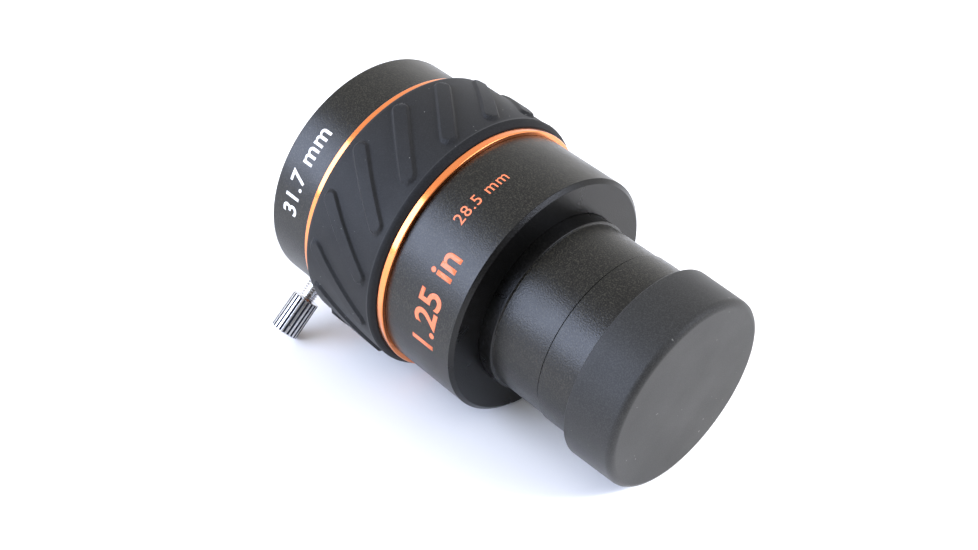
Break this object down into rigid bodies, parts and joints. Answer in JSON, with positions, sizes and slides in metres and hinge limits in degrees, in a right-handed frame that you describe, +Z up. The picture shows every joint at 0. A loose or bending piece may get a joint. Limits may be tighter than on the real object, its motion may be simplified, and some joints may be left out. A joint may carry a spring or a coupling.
{
  "type": "barlow lens",
  "caption": "Short barlow lens: a clamped eyepiece socket, a body with a ribbed rubber grip, and a nosepiece with an unscrewing lens cell, a filter thread and a push-on dust cap.",
  "frame": {"origin": "centre of the eyepiece socket's mouth, in the plane of its rim", "axes": "+X along the optical axis from the eyepiece socket to the nosepiece, +Z up with the lens lying on its side, -Y towards the side the thumbscrew leans to"},
  "size_m": [0.0756, 0.0492, 0.0515],
  "materials": {
    "black_anodised": "bead-blasted and black anodised, satin",
    "orange_anodised": "turned bright and orange anodised, glossy",
    "grip_rubber": "moulded, matt",
    "inner_black": "matt black",
    "black_steel": "black oxide",
    "brass": "satin",
    "chrome": "polished",
    "coated_glass": "polished, anti-reflection coated",
    "cap_plastic": "moulded, satin"
  },
  "bodies": {
    "barlow_body": {"top_collar": "black_anodised", "compression_ring": "brass", "upper_accent_ring": "orange_anodised", "body_core": "black_anodised", "set_screws": "black_steel", "rubber_grip": "grip_rubber", "lower_accent_ring": "orange_anodised", "lower_body": "black_anodised", "eyepiece_stop": "inner_black", "nose_barrel": "black_anodised", "glare_stop": "inner_black"},
    "screw_pad": {"thumbscrew_pad": "brass"},
    "thumbscrew": {"thumbscrew": "chrome"},
    "lens_stack": {"rear_lens": "coated_glass", "middle_lens": "coated_glass", "lens_spacer": "inner_black", "front_lens": "coated_glass"},
    "lens_cell": {"lens_cell": "black_anodised", "lens_retaining_ring": "inner_black"},
    "dust_cap": {"dust_cap": "cap_plastic"}
  },
  "joints": [
    {"name": "thumbscrew_advance", "type": "slide", "parent": "barlow_body", "child": "screw_pad", "axis": [0, 0.6361, 0.7716], "range_m": [-0.004, 0.00035]},
    {"name": "thumbscrew_turn", "type": "hinge", "parent": "screw_pad", "child": "thumbscrew", "pos_m": [0.00487, 0, 0], "axis": [0, 0.6361, 0.7716], "range_deg": [-2880.1, 252.1]},
    {"name": "cell_travel", "type": "slide", "parent": "barlow_body", "child": "lens_stack", "axis": [1, 0, 0], "range_m": [0, 0.0045]},
    {"name": "cell_unscrew", "type": "hinge", "parent": "lens_stack", "child": "lens_cell", "pos_m": [0.066, 0, 0], "axis": [1, 0, 0], "range_deg": [0, 2700.1]},
    {"name": "cap_pull", "type": "slide", "parent": "lens_cell", "child": "dust_cap", "axis": [1, 0, 0], "range_m": [0, 0.025]}
  ],
  "couplings": [
    {"joint": "thumbscrew_turn", "follows": "thumbscrew_advance", "rad_per_m": 12566},
    {"joint": "cell_unscrew", "follows": "cell_travel", "rad_per_m": 10472}
  ]
}
